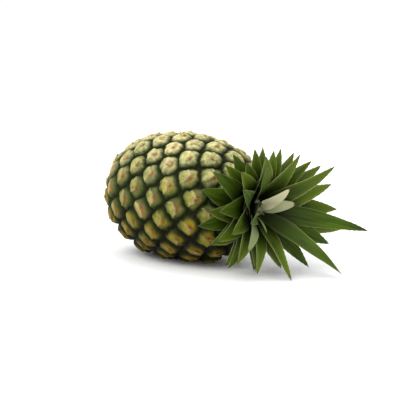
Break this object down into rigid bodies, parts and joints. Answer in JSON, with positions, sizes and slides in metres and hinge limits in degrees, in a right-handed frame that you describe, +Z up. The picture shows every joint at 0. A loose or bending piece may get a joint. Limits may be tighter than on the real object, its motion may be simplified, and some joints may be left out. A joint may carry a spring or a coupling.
{
  "type": "pineapple",
  "caption": "Whole ripe pineapple lying on its side, with its leafy crown and a short cut stalk.",
  "frame": {"origin": "on the small flat spot under the middle of the fruit, in the table plane", "axes": "+X along the fruit's axis towards the crown, +Z up from the table, the fruit lying on its side"},
  "size_m": [0.2707, 0.1602, 0.1243],
  "materials": {
    "rind": "waxy, olive and yellow-brown, with dark grooves",
    "cut_stalk": "dry, fibrous cut face",
    "crown_stem": "pale green, fibrous",
    "crown_leaf": "firm green leaf, satin above, pale and scurfy below",
    "heart_leaf": "young whitish-green leaf with a powdery bloom"
  },
  "bodies": {
    "root": {"fruit": "rind", "cut_stalk": "cut_stalk", "crown_stem": "crown_stem", "crown_leaf_01": "crown_leaf", "crown_leaf_02": "crown_leaf", "crown_leaf_03": "crown_leaf", "crown_leaf_04": "crown_leaf", "crown_leaf_05": "crown_leaf", "crown_leaf_06": "crown_leaf", "crown_leaf_07": "crown_leaf", "crown_leaf_08": "crown_leaf", "crown_leaf_09": "crown_leaf", "crown_leaf_10": "crown_leaf", "crown_leaf_11": "crown_leaf", "crown_leaf_12": "crown_leaf", "crown_leaf_13": "crown_leaf", "crown_leaf_14": "crown_leaf", "crown_leaf_15": "crown_leaf", "crown_leaf_16": "crown_leaf", "crown_leaf_17": "crown_leaf", "crown_leaf_18": "crown_leaf", "crown_leaf_19": "crown_leaf", "crown_leaf_20": "crown_leaf", "crown_leaf_21": "crown_leaf", "crown_leaf_22": "crown_leaf", "crown_leaf_23": "crown_leaf", "crown_leaf_24": "crown_leaf", "crown_leaf_25": "crown_leaf", "crown_leaf_26": "crown_leaf", "crown_leaf_27": "crown_leaf", "crown_leaf_28": "crown_leaf", "crown_leaf_29": "crown_leaf", "crown_leaf_30": "crown_leaf", "crown_leaf_31": "crown_leaf", "crown_leaf_32": "crown_leaf", "crown_leaf_33": "crown_leaf", "crown_leaf_34": "crown_leaf", "crown_leaf_35": "crown_leaf", "crown_leaf_36": "crown_leaf", "crown_leaf_37": "crown_leaf", "crown_leaf_38": "crown_leaf", "crown_leaf_39": "crown_leaf", "crown_leaf_40": "crown_leaf", "crown_leaf_41": "crown_leaf", "crown_leaf_42": "crown_leaf", "crown_leaf_43": "crown_leaf", "crown_leaf_44": "crown_leaf", "crown_leaf_45": "crown_leaf", "crown_leaf_46": "crown_leaf", "crown_leaf_47": "crown_leaf", "crown_leaf_48": "crown_leaf", "heart_leaf_1": "heart_leaf", "heart_leaf_2": "heart_leaf", "heart_leaf_3": "heart_leaf", "heart_leaf_4": "heart_leaf", "heart_leaf_5": "heart_leaf", "heart_leaf_6": "heart_leaf"}
  },
  "joints": []
}
